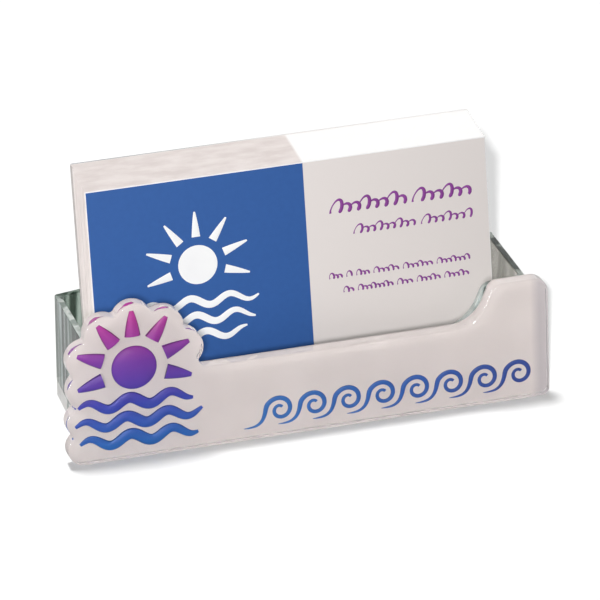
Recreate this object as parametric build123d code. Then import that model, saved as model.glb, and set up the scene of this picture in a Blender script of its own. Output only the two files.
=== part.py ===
from build123d import *
import math
import os

# Desk holder for business cards: a clear moulded tray, a contour-cut clear plate bonded to its leaning
# front wall, and a stack of cards that leans on the back wall.
# Millimetres. +X to the right, +Y to the back, +Z up, origin in the middle of the tray's underside.

# Cards
card_width = 88.9
card_height = 50.8
card_thickness = 0.4
deck_count = 32
card_lean = 12.5
card_seat_clearance = 0.1
card_rest_clearance = 0.2
front_card_gap = 0.1
deck_drift = 0.3
card_jog = 0.12
card_jog_shares = [0, 1, -0.6, 0.3, -1, 0.7, -0.2, 0.5, -0.8]

# Tray, whose pocket is as wide as a card and as deep as the stack, with room to spare
pocket_side_clearance = 2.84
finger_room = 5.0
tray_front_height = 26.6
rim_fall = 1.75
back_crown = 2.85
floor_thickness = 4.0
rim_thickness = 1.4
wall_draft = 2.0
front_lean = 7.0
outer_corner_radius = 0.9
pocket_corner_radius = 1.6
pocket_floor_radius = 0.8

# Scoop in the tray's front wall, between its two horns
scoop_height = 16.9
horn_width = 14.2
scoop_angle = 66.0
scoop_low_share = 0.62
scoop_high_share = 0.16

# Plate, measured along its lean from its lower edge
# Its own scoop lies higher than the tray's and is cut back farther from the middle
plate_thickness = 3.18
plate_overhang = 3.5
plate_cover = 1.7
plate_setback = 1.45
plate_low_share = 0.52
plate_horn_rise = 0.85
plate_horn_radius = 3.2
plate_corner_radius = 1.7
plate_edge_round = 0.5
plate_desk_clearance = 0.05

# Raised end of the plate: a scalloped round over two wave ends
emblem_inset = 10.5
emblem_height = 19.9
scallop_count = 7
scallop_span = 212.0
scallop_ring_radius = 11.3
scallop_overlap_share = 0.41
wave_count = 2
wave_overlap_share = 0.27
wave_shift = 1.2
notch_radius = 0.8

# Film and adhesive between plate and tray
film_thickness = 0.2
tape_thickness = 0.25
tape_inset = 1.5

# Every cut runs past the faces that it opens by this much
overrun = 3.0

# Outline ends closer than this are one corner, and a smaller turn than this is smooth
same_point = 0.001
smooth_turn = 5.0

draft_slope = math.tan(math.radians(wall_draft))
lean_slope = math.tan(math.radians(front_lean))
lean_cos = math.cos(math.radians(front_lean))
lean_sin = math.sin(math.radians(front_lean))
card_slope = math.tan(math.radians(card_lean))
card_cos = math.cos(math.radians(card_lean))
card_sin = math.sin(math.radians(card_lean))


def wall_at(height):
    """Thickness of a wall at a height, thicker towards the floor by the moulding draft."""
    return rim_thickness + (tray_front_height - height) * draft_slope


card_pitch = card_thickness / card_cos
card_foot_height = floor_thickness + card_seat_clearance
tray_back_height = tray_front_height - rim_fall
crown_height = tray_back_height + back_crown
arch_thickness = wall_at(tray_back_height)
stack_depth = (deck_count + 1) * card_pitch + front_card_gap / card_cos
lean_run = (crown_height - card_foot_height) * card_slope
back_room = arch_thickness + card_rest_clearance / card_cos + lean_run
front_room = floor_thickness * lean_slope + wall_at(floor_thickness) / lean_cos + finger_room

tray_width = card_width + 2 * (pocket_side_clearance + wall_at(floor_thickness))
tray_depth = front_room + stack_depth + back_room
tray_top = max(crown_height, tray_front_height) + overrun
front_foot = -tray_depth / 2
back_face = tray_depth / 2
wall_height = tray_front_height / lean_cos
scoop_half_width = tray_width / 2 - horn_width
plate_right = tray_width / 2 + plate_overhang
plate_low_height = scoop_height + plate_cover
plate_horn_height = wall_height + plate_horn_rise
emblem_offset = tray_width / 2 - emblem_inset


def front_face_at(height):
    """Y of the front wall's outer face, which leans back."""
    return front_foot + height * lean_slope


def front_plane(offset):
    """Plane parallel to the front wall, that far in front of it, with local Y up along the lean."""
    normal = Vector(0, -lean_cos, lean_sin)
    return Plane(Vector(0, front_foot, 0) + normal * offset, x_dir=(1, 0, 0), z_dir=normal)


def scoop_end(half_width, low_height, horn_height, low_share):
    """One end of a scoop: the foot and head corners of its slope, and the radius that rounds each."""
    rise = horn_height - low_height
    run = rise / math.tan(math.radians(scoop_angle))
    room = math.hypot(rise, run) / math.tan(math.radians(scoop_angle / 2))
    foot = (half_width, low_height)
    head = (half_width + run, horn_height)
    return foot, head, low_share * room, scoop_high_share * room


def tray_scoop_end():
    """One end of the tray's scoop."""
    return scoop_end(scoop_half_width, scoop_height, wall_height, scoop_low_share)


def plate_scoop_end():
    """Right end of the plate's scoop."""
    half_width = scoop_half_width + plate_setback
    return scoop_end(half_width, plate_low_height, plate_horn_height, plate_low_share)


def sharp_corners(sketch):
    """Corners of an outline where two of its lines meet at an angle."""
    corners = []
    for vertex in sketch.vertices():
        tangents = []
        for edge in sketch.edges():
            for end in (0, 1):
                if (edge.position_at(end) - Vector(vertex)).length < same_point:
                    tangents.append(edge.tangent_at(end))
        if smooth_turn < tangents[0].get_angle(tangents[1]) < 180 - smooth_turn:
            corners.append(vertex)
    return corners


def wall_outline():
    """Front wall as seen square on: two horns with the scoop between them."""
    side = tray_width / 2
    foot, head, low_radius, high_radius = tray_scoop_end()
    line = FilletPolyline(
        (-side, 0),
        (side, 0),
        (side, wall_height),
        head,
        foot,
        (-foot[0], foot[1]),
        (-head[0], head[1]),
        (-side, wall_height),
        radius=[0, 0, 0, high_radius, low_radius, low_radius, high_radius, 0],
        close=True,
    )
    return make_face(line)


def scoop_cutter():
    """What the scoop takes out of the front wall, its slopes running on past the rim."""
    foot, head, low_radius, high_radius = tray_scoop_end()
    run = overrun / math.tan(math.radians(scoop_angle))
    mouth = FilletPolyline(
        (head[0] + run, head[1] + overrun),
        foot,
        (-foot[0], foot[1]),
        (-head[0] - run, head[1] + overrun),
        radius=[0, low_radius, low_radius, 0],
        close=True,
    )
    depth = wall_at(0) + 2 * overrun
    return extrude(front_plane(overrun) * make_face(mouth), -depth)


def tray_block():
    """Outside of the tray: its side profile, with the leaning front and the rim rising to the front."""
    profile = Polyline(
        (front_foot, 0),
        (back_face, 0),
        (back_face, tray_back_height),
        (front_face_at(tray_front_height), tray_front_height),
        close=True,
    )
    block = extrude(Plane.YZ * make_face(profile), tray_width / 2, both=True)
    ends = block.faces().sort_by(Axis.X)
    uprights = []
    for end in (ends[0], ends[-1]):
        across = end.edges().sort_by(Axis.Y)
        uprights += [across[0], across[-1]]
    return fillet(uprights, outer_corner_radius)


def pocket_section(height):
    """Slice of the pocket at a height, wider towards the rim."""
    wall = wall_at(height)
    front = front_face_at(height) + wall / lean_cos
    back = back_face - wall
    middle = (front + back) / 2
    width = tray_width - 2 * wall
    return Pos(0, middle, height) * RectangleRounded(width, back - front, pocket_corner_radius)


def pocket():
    """Hollow that the cards stand in, rounded where its walls meet the floor."""
    hollow = loft([pocket_section(floor_thickness), pocket_section(tray_top)], ruled=True)
    floor = hollow.faces().sort_by(Axis.Z)[0]
    return fillet(floor.edges(), pocket_floor_radius)


def back_arch():
    """Arched top of the back wall, which the last card leans on."""
    half = tray_width / 2 - outer_corner_radius
    foot = tray_back_height - back_crown
    line = [
        Line((-half, foot), (half, foot)),
        Line((half, foot), (half, tray_back_height)),
        ThreePointArc((half, tray_back_height), (0, crown_height), (-half, tray_back_height)),
        Line((-half, tray_back_height), (-half, foot)),
    ]
    return extrude(Plane.XZ.offset(-back_face) * make_face(line), arch_thickness)


def make_tray():
    """Tray: block less pocket and scoop, with the arch on its back wall and the scoop's ends rounded over."""
    tray = tray_block() - pocket() - scoop_cutter() + back_arch()
    foot, head, low_radius, high_radius = tray_scoop_end()
    mid_wall = front_plane(-rim_thickness / 2)
    ends = []
    for side in (-1, 1):
        peak = mid_wall.from_local_coords(Vector(side * head[0], wall_height, 0))
        ends.append(tray.edges().sort_by_distance(peak)[0])
    return fillet(ends, high_radius)


def emblem_outline():
    """Raised end of the plate: a ring of scallops over rounded wave ends."""
    middle = Pos(-emblem_offset, emblem_height)
    shape = middle * Circle(scallop_ring_radius)
    first = 90 - scallop_span / 2
    step = scallop_span / (scallop_count - 1)
    spacing = 2 * scallop_ring_radius * math.sin(math.radians(step / 2))
    scallop_radius = spacing / (2 - scallop_overlap_share)
    for index in range(scallop_count):
        shape += middle * Rot(0, 0, first + index * step) * Pos(scallop_ring_radius, 0) * Circle(scallop_radius)
    last_height = emblem_height + scallop_ring_radius * math.sin(math.radians(first))
    wave_radius = (last_height - scallop_radius) / (wave_count * (2 - wave_overlap_share))
    end = emblem_offset + scallop_ring_radius * math.cos(math.radians(first)) + wave_shift
    for index in range(wave_count):
        level = wave_radius * (1 + index * (2 - wave_overlap_share))
        shape += Pos(-end, level) * Circle(wave_radius)
    filler = Rectangle(end - emblem_offset, last_height)
    return shape + Pos(-(end + emblem_offset) / 2, last_height / 2) * filler


def plate_panel():
    """Plain stretch of the plate, with its low edge and the horn on its right."""
    foot, head, low_radius, high_radius = plate_scoop_end()
    line = FilletPolyline(
        (-emblem_offset, 0),
        (plate_right, 0),
        (plate_right, plate_horn_height),
        head,
        foot,
        (-emblem_offset, plate_low_height),
        radius=[0, plate_corner_radius, plate_horn_radius, high_radius, low_radius, 0],
        close=True,
    )
    return make_face(line)


def plate_outline():
    """Whole contour of the plate, with its notches rounded."""
    contour = plate_panel() + emblem_outline()
    return Pos(0, plate_desk_clearance) * fillet(sharp_corners(contour), notch_radius)


def make_plate(outline):
    """Contour-cut plate with a round front edge."""
    plane = front_plane(tape_thickness + film_thickness)
    blank = extrude(plane * outline, plate_thickness)
    front = blank.faces().sort_by(Axis(plane.origin, plane.z_dir))[-1]
    return fillet(front.edges(), plate_edge_round)


def make_film(outline):
    """Opaque film on the plate's back, cut with it to the same contour."""
    return extrude(front_plane(tape_thickness) * outline, film_thickness)


def make_tape():
    """Adhesive sheet, inside the outline of the wall that it holds."""
    return extrude(front_plane(0) * offset(wall_outline(), -tape_inset), tape_thickness)


def make_card(index, shift):
    """One card, counted from the back of the stack; its rear face leans on the back wall's arch."""
    plane = Plane(
        (shift, back_face - back_room - index * card_pitch, card_foot_height),
        x_dir=(1, 0, 0),
        z_dir=(0, -card_cos, card_sin),
    )
    face = Pos(0, card_height / 2) * Rectangle(card_width, card_height)
    return extrude(plane * face, card_thickness)


def make_deck():
    """Cards behind the front one, pushed together loosely."""
    cards = {}
    for number in range(1, deck_count + 1):
        index = deck_count - number
        jog = card_jog * card_jog_shares[number % len(card_jog_shares)]
        cards[f"card_{number:02d}"] = make_card(index, deck_drift * number / deck_count + jog)
    return cards


def make_front_card():
    """Front card, a hair clear of the deck."""
    gap = front_card_gap / card_cos
    return Pos(0, -gap, 0) * make_card(deck_count, 0)


outline = plate_outline()
nodes = {
    "tray": make_tray(),
    "front_plate": make_plate(outline),
    "backing_film": make_film(outline),
    "bond_tape": make_tape(),
    "front_card": make_front_card(),
}
nodes.update(make_deck())

os.makedirs("parts", exist_ok=True)
for name, solid in nodes.items():
    export_step(solid, f"parts/{name}.step")
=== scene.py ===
"""Dressed model of a desk holder for business cards: clear tray, contour-cut front plate and card stack.

Sizes in the classes below are millimetres. Meshes are metres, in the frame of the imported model.
"""

from __future__ import annotations

import logging
import math
from collections.abc import Callable
from dataclasses import dataclass, field
from enum import Enum, IntEnum

import bmesh
import bpy
from mathutils import Matrix, Vector


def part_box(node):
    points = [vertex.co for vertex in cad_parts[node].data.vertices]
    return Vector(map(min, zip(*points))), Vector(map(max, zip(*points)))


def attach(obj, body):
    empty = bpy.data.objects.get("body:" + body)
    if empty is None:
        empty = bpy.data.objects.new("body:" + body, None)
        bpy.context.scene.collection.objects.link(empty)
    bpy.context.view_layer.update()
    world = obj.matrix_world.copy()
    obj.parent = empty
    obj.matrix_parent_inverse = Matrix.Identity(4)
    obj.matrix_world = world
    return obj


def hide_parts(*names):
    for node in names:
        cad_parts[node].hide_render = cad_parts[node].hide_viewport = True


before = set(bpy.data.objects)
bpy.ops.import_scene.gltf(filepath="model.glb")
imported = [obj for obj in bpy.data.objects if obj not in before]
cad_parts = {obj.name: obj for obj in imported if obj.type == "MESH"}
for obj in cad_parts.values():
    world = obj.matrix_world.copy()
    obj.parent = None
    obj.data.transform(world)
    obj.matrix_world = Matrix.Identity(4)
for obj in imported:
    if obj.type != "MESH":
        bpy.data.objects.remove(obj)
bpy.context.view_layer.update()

MM = 0.001
SAME_POINT = 1e-6
NEAR_POINT = 1e-5
SMOOTH_BELOW = math.radians(35.0)
# Order of a drawn line's curve, and its steps between two points
LINE_ORDER, LINE_STEPS = 3, 4
# Cosines between which a face comes to count as turned towards a direction
TURNED_AWAY, SQUARE_ON = 0.3, 0.85
# Numbers of a mix node's colour sockets
MIX_FIRST, MIX_SECOND, MIX_RESULT = 6, 7, 2
# Ways that the faces and edges of the leaning cards and plate look
CARD_OUT, CARD_UP, CARD_LEFT = (0.0, -0.9763, 0.2164), (0.0, 0.2164, 0.9763), (-1.0, 0.0, 0.0)
PLATE_OUT = (0.0, -0.9925, 0.1219)

Colour = tuple[float, float, float, float]
Point = tuple[float, float]
Direction = tuple[float, float, float]
Stops = tuple[tuple[float, str], ...]
Tree = bpy.types.NodeTree
Socket = bpy.types.NodeSocket
Mesh = bmesh.types.BMesh
Place = Callable[[bmesh.types.BMVert, float, float], Vector]

log = logging.getLogger("card_holder")


class Body(Enum):
    """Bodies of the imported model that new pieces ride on."""

    HOLDER = "holder"
    FRONT_CARD = "front_card"


class Slot(Enum):
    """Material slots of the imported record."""

    TRAY = "clear_tray"
    PLATE = "clear_plate"
    FILM = "pale_film"
    TAPE = "clear_tape"
    PRINT = "printed_card"


class Axis(Enum):
    """Object axes that a colour can run along."""

    X = "X"
    Z = "Z"


class Rounded(Enum):
    """What a round takes off."""

    EDGES = "EDGES"
    CORNERS = "VERTICES"


class Skin(IntEnum):
    """Material numbers of the tray's faces."""

    WALL = 0
    RIM = 1
    SCOOP = 2
    SLAB = 3
    BACK = 4
    FLOOR = 5


def linear(code: str) -> Colour:
    """Turns an sRGB hex value into a linear colour.

    Args:
        code: Colour such as "#A0B0C0".

    Returns:
        Linear red, green and blue, with an alpha of one.
    """
    shares = [int(code[start : start + 2], 16) / 255 for start in (1, 3, 5)]
    red, green, blue = (s / 12.92 if s <= 0.04045 else ((s + 0.055) / 1.055) ** 2.4 for s in shares)
    return red, green, blue, 1.0


def add(tree: Tree, kind: str, inputs: dict | None = None, stops: Stops = (), **settings) -> bpy.types.Node:
    """Adds a node with its settings and links.

    Args:
        tree: Node tree that gets the node.
        kind: Node type.
        inputs: Value or linked socket of each input, by name or number.
        stops: Share of the way and colour of each stop, where the node is a colour ramp.
        **settings: Properties of the node.

    Returns:
        The new node.
    """
    node = tree.nodes.new(kind)
    for key, value in settings.items():
        setattr(node, key, value)
    for key, value in (inputs or {}).items():
        if isinstance(value, Socket):
            tree.links.new(value, node.inputs[key])
        else:
            node.inputs[key].default_value = value
    if stops:
        elements = node.color_ramp.elements
        while len(elements) < len(stops):
            elements.new(0.5)
        for element, (position, code) in zip(elements, stops):
            element.position = position
            element.color = linear(code)
    return node


def share_facing(tree: Tree, facing: Direction) -> Socket:
    """Gives how squarely a face looks along a direction.

    Args:
        tree: Node tree that gets the nodes.
        facing: The direction, of unit length.

    Returns:
        The share's socket: one for a face that looks along it, zero for one that is turned away.
    """
    normal = add(tree, "ShaderNodeTexCoord").outputs["Normal"]
    turned = add(tree, "ShaderNodeVectorMath", {0: normal, 1: facing}, operation="DOT_PRODUCT")
    level = {"Value": turned.outputs["Value"], "From Min": TURNED_AWAY, "From Max": SQUARE_ON}
    return add(tree, "ShaderNodeMapRange", level).outputs[0]


@dataclass(frozen=True)
class Finish:
    """A finish that makes its material once, on first use."""

    name: str

    def material(self) -> bpy.types.Material:
        """Gives the finish's material.

        Returns:
            The material, with its nodes.
        """
        made = bpy.data.materials.get(self.name)
        if made is None:
            made = bpy.data.materials.new(self.name)
            made.use_nodes = True
            made.node_tree.nodes.clear()
            self.shade(made.node_tree, add(made.node_tree, "ShaderNodeOutputMaterial"))
        return made

    def shade(self, tree: Tree, output: bpy.types.Node) -> None:
        """Builds the nodes of the finish.

        Args:
            tree: The material's node tree.
            output: The material's output node.
        """
        raise NotImplementedError


@dataclass(frozen=True)
class ClearPlastic(Finish):
    """Clear thermoplastic with a tint that deepens along the light's way and faint drawn-out flow lines.

    The eye sees through it, with grey-green depth at edges and upright streaks where its faces wave; the
    bands along its depth and the light and dark streaks in its base colour are painted reflections and
    glints, where a finish gives them.
    """

    tint: str = "#95BBA4"
    depth: float = 0.0
    ior: float = 1.5
    roughness: float = 0.03
    haze: float = 0.0
    front: float = -14.2
    back: float = 14.2
    tones: Stops = ((0.0, "#FFFFFF"), (1.0, "#FFFFFF"))
    streaks: Stops = ((0.0, "#FFFFFF"), (1.0, "#FFFFFF"))
    streak_width: float = 4.0
    streak_length: float = 30.0
    streak_detail: float = 2.0
    wave: float = 0.1
    lets_through: float = 0.9

    def shade(self, tree: Tree, output: bpy.types.Node) -> None:
        """Builds glass that lets lamps through, with absorption inside.

        Args:
            tree: The material's node tree.
            output: The material's output node.
        """
        place = add(tree, "ShaderNodeTexCoord").outputs["Object"]
        across = 1 / (self.streak_width * MM)
        along = 1 / (self.streak_length * MM)
        drawn = add(tree, "ShaderNodeMapping", {"Vector": place, "Scale": (across, across, along)})
        lines = {"Vector": drawn.outputs[0], "Scale": 1.0, "Detail": self.streak_detail}
        flow = add(tree, "ShaderNodeTexNoise", lines)
        wavy = add(tree, "ShaderNodeBump", {"Height": flow.outputs[0], "Distance": self.wave * MM})
        # Bands along the depth and light and dark streaks on the flow noise, in the base colour: painted
        # reflections and glints
        split = add(tree, "ShaderNodeSeparateXYZ", {0: place})
        reach = {"Value": split.outputs["Y"], "From Min": self.front * MM, "From Max": self.back * MM}
        share = add(tree, "ShaderNodeMapRange", reach)
        tone = add(tree, "ShaderNodeValToRGB", {0: share.outputs[0]}, self.tones)
        streak = add(tree, "ShaderNodeValToRGB", {0: flow.outputs[0]}, self.streaks)
        both = {"Factor": 1.0, MIX_FIRST: tone.outputs[0], MIX_SECOND: streak.outputs[0]}
        streaked = add(tree, "ShaderNodeMix", both, data_type="RGBA", blend_type="MULTIPLY")
        body = add(
            tree,
            "ShaderNodeBsdfPrincipled",
            {
                "Base Color": streaked.outputs[MIX_RESULT],
                "Roughness": self.roughness,
                "IOR": self.ior,
                "Transmission Weight": 1.0 - self.haze,
                "Normal": wavy.outputs[0],
            },
        )
        lit = add(tree, "ShaderNodeBsdfTransparent", {"Color": (self.lets_through,) * 3 + (1.0,)})
        rays = add(tree, "ShaderNodeLightPath")
        parts = {0: rays.outputs["Is Shadow Ray"], 1: body.outputs[0], 2: lit.outputs[0]}
        surface = add(tree, "ShaderNodeMixShader", parts)
        tree.links.new(surface.outputs[0], output.inputs["Surface"])
        if self.depth > 0:
            tinted = {"Color": linear(self.tint), "Density": 1 / (self.depth * MM)}
            inside = add(tree, "ShaderNodeVolumeAbsorption", tinted)
            tree.links.new(inside.outputs[0], output.inputs["Volume"])


@dataclass(frozen=True)
class MattSheet(Finish):
    """Opaque sheet with a soft mottle, a fine grain and little gloss."""

    colour: str = "#D9D0CC"
    cloud: str = "#CFC5C1"
    cloud_size: float = 14.0
    cloud_stretch: Direction = (1.0, 1.0, 1.0)
    cloud_edges: Point = (0.35, 0.65)
    cloud_detail: float = 3.0
    cloud_roughness: float = 0.55
    grain_size: float = 0.35
    grain_depth: float = 0.006
    grain_detail: float = 2.0
    roughness: float = 0.55
    gloss: float = 0.3

    def colour_socket(self, tree: Tree, place: Socket) -> Socket:
        """Gives the sheet's colour over its place.

        Args:
            tree: The material's node tree.
            place: Object coordinates.

        Returns:
            The colour socket.
        """
        scale = tuple(1 / (self.cloud_size * stretch * MM) for stretch in self.cloud_stretch)
        drawn = add(tree, "ShaderNodeMapping", {"Vector": place, "Scale": scale})
        cloud = add(
            tree,
            "ShaderNodeTexNoise",
            {
                "Vector": drawn.outputs[0],
                "Scale": 1.0,
                "Detail": self.cloud_detail,
                "Roughness": self.cloud_roughness,
            },
        )
        low, high = self.cloud_edges
        reach = {"Value": cloud.outputs[0], "From Min": low, "From Max": high}
        share = add(tree, "ShaderNodeMapRange", reach)
        both = {"Factor": share.outputs[0], MIX_FIRST: linear(self.colour), MIX_SECOND: linear(self.cloud)}
        return add(tree, "ShaderNodeMix", both, data_type="RGBA").outputs[MIX_RESULT]

    def shade(self, tree: Tree, output: bpy.types.Node) -> None:
        """Builds the mottled colour, the grain and the gloss.

        Args:
            tree: The material's node tree.
            output: The material's output node.
        """
        place = add(tree, "ShaderNodeTexCoord").outputs["Object"]
        fine = {"Vector": place, "Scale": 1 / (self.grain_size * MM), "Detail": self.grain_detail}
        grain = add(tree, "ShaderNodeTexNoise", fine)
        rough = add(tree, "ShaderNodeBump", {"Height": grain.outputs[0], "Distance": self.grain_depth * MM})
        body = add(
            tree,
            "ShaderNodeBsdfPrincipled",
            {
                "Base Color": self.colour_socket(tree, place),
                "Roughness": self.roughness,
                "Specular IOR Level": self.gloss,
                "Normal": rough.outputs[0],
            },
        )
        tree.links.new(body.outputs[0], output.inputs["Surface"])


@dataclass(frozen=True)
class FillPaint(MattSheet):
    """Enamel rubbed into an engraved line, whose colour runs from one end of the work to the other, with
    painted shade on the line's flanks.
    """

    axis: Axis = Axis.Z
    start: float = 0.0
    end: float = 1.0
    stops: Stops = ((0.0, "#2068B8"), (1.0, "#C03F97"))
    facing: Direction = PLATE_OUT
    flank_shade: float = 0.45

    def colour_socket(self, tree: Tree, place: Socket) -> Socket:
        """Gives the colour along the axis, with painted shade on the flanks of a line.

        Args:
            tree: The material's node tree.
            place: Object coordinates.

        Returns:
            The colour socket.
        """
        split = add(tree, "ShaderNodeSeparateXYZ", {0: place})
        along = split.outputs[self.axis.value]
        reach = {"Value": along, "From Min": self.start * MM, "From Max": self.end * MM}
        share = add(tree, "ShaderNodeMapRange", reach)
        colour = add(tree, "ShaderNodeValToRGB", {0: share.outputs[0]}, self.stops)
        level = {"Value": share_facing(tree, self.facing), "To Min": self.flank_shade}
        shadow = add(tree, "ShaderNodeMapRange", level)
        both = {"Factor": 1.0, MIX_FIRST: colour.outputs[0], MIX_SECOND: shadow.outputs[0]}
        return add(tree, "ShaderNodeMix", both, data_type="RGBA", blend_type="MULTIPLY").outputs[MIX_RESULT]


@dataclass(frozen=True)
class EdgeShadedSheet(MattSheet):
    """Sheet in the colours of another one, with painted shade on its listed edges, less of it to the right.
    """

    sheet: MattSheet = field(kw_only=True)
    shaded_edges: tuple[tuple[Direction, Stops], ...] = ()
    start: float = -44.5
    end: float = 44.5

    def colour_socket(self, tree: Tree, place: Socket) -> Socket:
        """Gives the sheet's colour, with painted shade on each listed edge.

        Args:
            tree: The material's node tree.
            place: Object coordinates.

        Returns:
            The colour socket.
        """
        colour = self.sheet.colour_socket(tree, place)
        split = add(tree, "ShaderNodeSeparateXYZ", {0: place})
        reach = {"Value": split.outputs["X"], "From Min": self.start * MM, "From Max": self.end * MM}
        share = add(tree, "ShaderNodeMapRange", reach)
        for facing, stops in self.shaded_edges:
            edge_shade = add(tree, "ShaderNodeValToRGB", {0: share.outputs[0]}, stops)
            both = {"Factor": share_facing(tree, facing), MIX_FIRST: colour, MIX_SECOND: edge_shade.outputs[0]}
            colour = add(tree, "ShaderNodeMix", both, data_type="RGBA").outputs[MIX_RESULT]
        return colour


@dataclass(frozen=True)
class SplitSheet(MattSheet):
    """Sheet with one colour on its left and another on its right, as a printed panel gives; on the film the
    right strip is painted shade.
    """

    right: str = "#DDD6D3"
    edge: float = 3.5
    blur: float = 0.04

    def colour_socket(self, tree: Tree, place: Socket) -> Socket:
        """Gives the mottled left colour up to the edge, and the right colour past it.

        Args:
            tree: The material's node tree.
            place: Object coordinates.

        Returns:
            The colour socket.
        """
        left = MattSheet.colour_socket(self, tree, place)
        split = add(tree, "ShaderNodeSeparateXYZ", {0: place})
        low, high = (self.edge - self.blur) * MM, (self.edge + self.blur) * MM
        reach = {"Value": split.outputs["X"], "From Min": low, "From Max": high}
        share = add(tree, "ShaderNodeMapRange", reach)
        both = {"Factor": share.outputs[0], MIX_FIRST: left, MIX_SECOND: linear(self.right)}
        return add(tree, "ShaderNodeMix", both, data_type="RGBA").outputs[MIX_RESULT]


@dataclass(frozen=True)
class EdgedSheet(SplitSheet):
    """Sheet with a plain face, whose edges and a hair of face beside them carry the two colours."""

    face: str = "#F1EEEC"
    facing: Direction = CARD_OUT
    face_left: float = -44.0
    face_top: float = 53.6

    def colour_socket(self, tree: Tree, place: Socket) -> Socket:
        """Gives the edges' colours, and the plain colour on the face.

        Args:
            tree: The material's node tree.
            place: Object coordinates.

        Returns:
            The colour socket.
        """
        edges = SplitSheet.colour_socket(self, tree, place)
        split = add(tree, "ShaderNodeSeparateXYZ", {0: place})
        inside = share_facing(tree, self.facing)
        for axis, start, end in (
            (Axis.X, self.face_left - self.blur, self.face_left),
            (Axis.Z, self.face_top, self.face_top - self.blur),
        ):
            reach = {"Value": split.outputs[axis.value], "From Min": start * MM, "From Max": end * MM}
            share = add(tree, "ShaderNodeMapRange", reach)
            product = add(tree, "ShaderNodeMath", {0: inside, 1: share.outputs[0]}, operation="MULTIPLY")
            inside = product.outputs[0]
        both = {"Factor": inside, MIX_FIRST: edges, MIX_SECOND: linear(self.face)}
        return add(tree, "ShaderNodeMix", both, data_type="RGBA").outputs[MIX_RESULT]


# Injection-moulded styrene: clear to see through, grey-green along its edges; the dark and light bands
# along its depth and the white glints and dark streaks on its flow lines are painted reflections
TRAY_PLASTIC = ClearPlastic(
    "moulded_clear_styrene",
    tones=(
        (0.0, "#EAF1EC"),
        (0.22, "#E9F0EE"),
        (0.26, "#2F3C36"),
        (0.31, "#3C4A43"),
        (0.35, "#F4F8F8"),
        (0.6, "#EDF2F3"),
        (0.68, "#F6FAFB"),
        (0.71, "#46544C"),
        (0.76, "#3E4B44"),
        (0.79, "#EAF0F0"),
        (0.88, "#DFE6E4"),
        (0.905, "#4F5D55"),
        (0.94, "#B4BFB7"),
        (1.0, "#A4B0A7"),
    ),
    streaks=(
        (0.36, "#3F4E46"),
        (0.42, "#A9B6AE"),
        (0.48, "#FFFFFF"),
        (0.56, "#F3F7FA"),
        (0.63, "#8F9C94"),
    ),
    streak_width=3.0,
    streak_length=60.0,
    wave=0.16,
    haze=0.34,
)
# The same styrene where the scoop is cut and along the left rim: a little frosted, with painted light that
# makes it pale and painted white glints
SCOOP_PLASTIC = ClearPlastic(
    "moulded_clear_styrene_cut",
    tones=((0.0, "#D6DCD8"), (1.0, "#D6DCD8")),
    streaks=((0.4, "#9BA5A0"), (0.5, "#FFFFFF"), (0.65, "#B9C1BD")),
    streak_width=5.0,
    streak_length=5.0,
    wave=0.02,
    haze=0.6,
)
# The same styrene in the thick floor, frosted: painted light makes it pale and pinkish where its cut sides
# gather light from the cards, darker towards the back, with dark streaks
SLAB_PLASTIC = ClearPlastic(
    "moulded_clear_styrene_floor",
    tones=((0.0, "#FBF7F6"), (0.7, "#F6F2F1"), (1.0, "#DAD9D6")),
    streaks=((0.36, "#A9B2AD"), (0.45, "#FFFFFF"), (1.0, "#FFFFFF")),
    streak_width=3.0,
    streak_length=12.0,
    haze=0.7,
)
# The same styrene along the rim, where the moulded edge bends the light away: painted near-black shade with
# painted pale glints
RIM_PLASTIC = ClearPlastic(
    "moulded_clear_styrene_rim",
    tones=((0.0, "#C9D6CE"), (1.0, "#B4C2BA")),
    streaks=((0.38, "#FFFFFF"), (0.46, "#2E3331")),
    streak_width=5.0,
    streak_length=5.0,
    wave=0.04,
)
# The same styrene in the back and right walls: an even warm-grey veil with faint flow lines
BACK_PLASTIC = ClearPlastic(
    "moulded_clear_styrene_back",
    tones=((0.0, "#DEDBD5"), (1.0, "#DEDBD5")),
    streaks=((0.38, "#C3C6C2"), (0.47, "#FFFFFF"), (1.0, "#FFFFFF")),
    streak_width=5.0,
    streak_length=80.0,
    wave=0.05,
    haze=0.2,
)
# The same styrene in the level floor of the pocket: clear, with a slight haze
FLOOR_PLASTIC = ClearPlastic(
    "moulded_clear_styrene_level",
    tones=((0.0, "#E6E9E6"), (1.0, "#DADFDB")),
    wave=0.01,
    haze=0.3,
)
TRAY_SKINS = {
    Skin.WALL: TRAY_PLASTIC,
    Skin.RIM: RIM_PLASTIC,
    Skin.SCOOP: SCOOP_PLASTIC,
    Skin.SLAB: SLAB_PLASTIC,
    Skin.BACK: BACK_PLASTIC,
    Skin.FLOOR: FLOOR_PLASTIC,
}
# Cast acrylic sheet, routed and flame-polished: water-clear, with bright rounded edges
PLATE_PLASTIC = ClearPlastic(
    "cast_clear_acrylic",
    tint="#C9D3CD",
    depth=60.0,
    roughness=0.02,
    wave=0.0003,
    lets_through=0.2,
)
# Acrylic adhesive sheet: clear with a soft haze
TAPE_PLASTIC = ClearPlastic(
    "clear_acrylic_adhesive", tint="#E4E6E0", depth=60.0, roughness=0.25, wave=0.004
)
# Calendered vinyl film: opaque, matt, pale warm grey, with painted shade on its right strip past the tray's
# side, where nothing backs it
FILM_VINYL = SplitSheet(
    "calendered_vinyl_film", colour="#DDD3D0", cloud="#D7CDCA", right="#BDB5B7", edge=50.5, blur=1.0
)
# Enamel in the engraved emblem: magenta at the top, through violet and indigo, to blue at the foot
EMBLEM_PAINT = FillPaint(
    "emblem_enamel",
    roughness=0.4,
    start=3.0,
    end=33.0,
    stops=((0.0, "#1F62B2"), (0.3, "#3440AA"), (0.62, "#70329C"), (1.0, "#BE3594")),
)
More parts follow.
